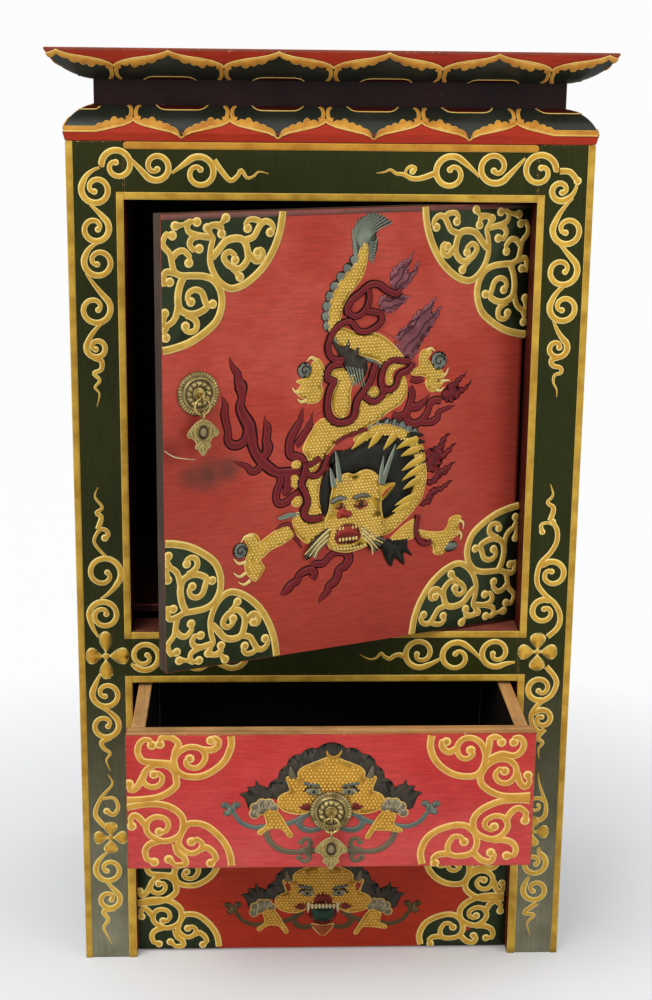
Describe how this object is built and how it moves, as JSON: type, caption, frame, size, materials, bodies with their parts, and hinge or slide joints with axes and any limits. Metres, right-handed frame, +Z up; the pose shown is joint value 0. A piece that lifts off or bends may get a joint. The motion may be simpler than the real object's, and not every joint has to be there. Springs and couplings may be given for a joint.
{
  "type": "painted wooden cabinet",
  "caption": "Small painted wooden cabinet with a hinged door over a drawer, a recessed apron, a stepped lotus cornice and brass drop pulls.",
  "frame": {"origin": "on the floor, in the middle of the box that the cabinet takes up with its door ajar and its drawer drawn out", "axes": "+Z up; the front faces -Y; +X to the right as seen from the front"},
  "size_m": [0.3828, 0.339, 0.67],
  "materials": {
    "green_paint": "dark green distemper on wood, slightly glossy",
    "red_paint": "brick red painted wood, satin",
    "maroon_paint": "dark maroon painted wood, satin",
    "brown_wood": "stained softwood, matt",
    "raw_wood": "bare softwood, matt",
    "cast_brass": "cast brass with a dull patina",
    "iron": "forged iron, dull",
    "gold_relief": "ochre and yellow painted gesso relief"
  },
  "bodies": {
    "carcass": {"front_post_left": "green_paint", "front_post_right": "green_paint", "front_lower_rail": "green_paint", "front_middle_rail": "green_paint", "front_top_rail": "green_paint", "back_post_left": "maroon_paint", "back_post_right": "maroon_paint", "side_bottom_rail_left": "maroon_paint", "side_bottom_rail_right": "maroon_paint", "side_top_rail_left": "maroon_paint", "side_top_rail_right": "maroon_paint", "side_panel_left": "red_paint", "side_panel_right": "red_paint", "back_bottom_rail": "brown_wood", "back_top_rail": "brown_wood", "back_panel": "brown_wood", "apron_panel": "red_paint", "compartment_floor": "raw_wood", "floor_bearer_left": "raw_wood", "floor_bearer_right": "raw_wood", "drawer_kicker_left": "raw_wood", "drawer_kicker_right": "raw_wood", "drawer_runner_left": "raw_wood", "drawer_runner_right": "raw_wood", "drawer_guide_left": "raw_wood", "drawer_guide_right": "raw_wood", "carcass_top": "brown_wood", "shoulder_moulding_front": "red_paint", "shoulder_moulding_left": "red_paint", "shoulder_moulding_right": "red_paint", "neck_front": "maroon_paint", "neck_left": "maroon_paint", "neck_right": "maroon_paint", "neck_back": "maroon_paint", "cornice_moulding_front": "red_paint", "cornice_moulding_left": "red_paint", "cornice_moulding_right": "red_paint", "top_board": "maroon_paint", "pivot_pin_lower": "iron", "pivot_pin_upper": "iron"},
    "door": {"door_board": "red_paint", "door_pull_rosette": "cast_brass", "door_pull_eye_pin": "cast_brass"},
    "door_ring": {"door_pull_ring": "cast_brass"},
    "door_pendant": {"door_pull_pendant": "cast_brass"},
    "drawer": {"drawer_front": "red_paint", "drawer_side_left": "raw_wood", "drawer_side_right": "raw_wood", "drawer_bottom": "raw_wood", "drawer_back": "raw_wood", "drawer_pull_rosette": "cast_brass", "drawer_pull_eye_pin": "cast_brass"},
    "drawer_ring": {"drawer_pull_ring": "cast_brass"},
    "drawer_pendant": {"drawer_pull_pendant": "cast_brass"}
  },
  "joints": [
    {"name": "door_hinge", "type": "hinge", "parent": "carcass", "child": "door", "pos_m": [0.1331, -0.03383, 0.2607], "axis": [0, 0, 1], "range_deg": [-24.4, 65]},
    {"name": "door_ring_swing", "type": "hinge", "parent": "door", "child": "door_ring", "pos_m": [-0.08633, -0.14874, 0.4502], "axis": [-0.9107, -0.4131, 0], "range_deg": [0, 90]},
    {"name": "door_pendant_swing", "type": "hinge", "parent": "door_ring", "child": "door_pendant", "pos_m": [-0.08633, -0.14874, 0.4395], "axis": [-0.9107, -0.4131, 0], "range_deg": [0, 80]},
    {"name": "drawer_slide", "type": "slide", "parent": "carcass", "child": "drawer", "axis": [0, -1, 0], "range_m": [-0.1076, 0.03]},
    {"name": "drawer_ring_swing", "type": "hinge", "parent": "drawer", "child": "drawer_ring", "pos_m": [0, -0.16612, 0.1624], "axis": [-1, 0, 0], "range_deg": [0, 90]},
    {"name": "drawer_pendant_swing", "type": "hinge", "parent": "drawer_ring", "child": "drawer_pendant", "pos_m": [0, -0.16612, 0.1517], "axis": [-1, 0, 0], "range_deg": [0, 80]}
  ]
}
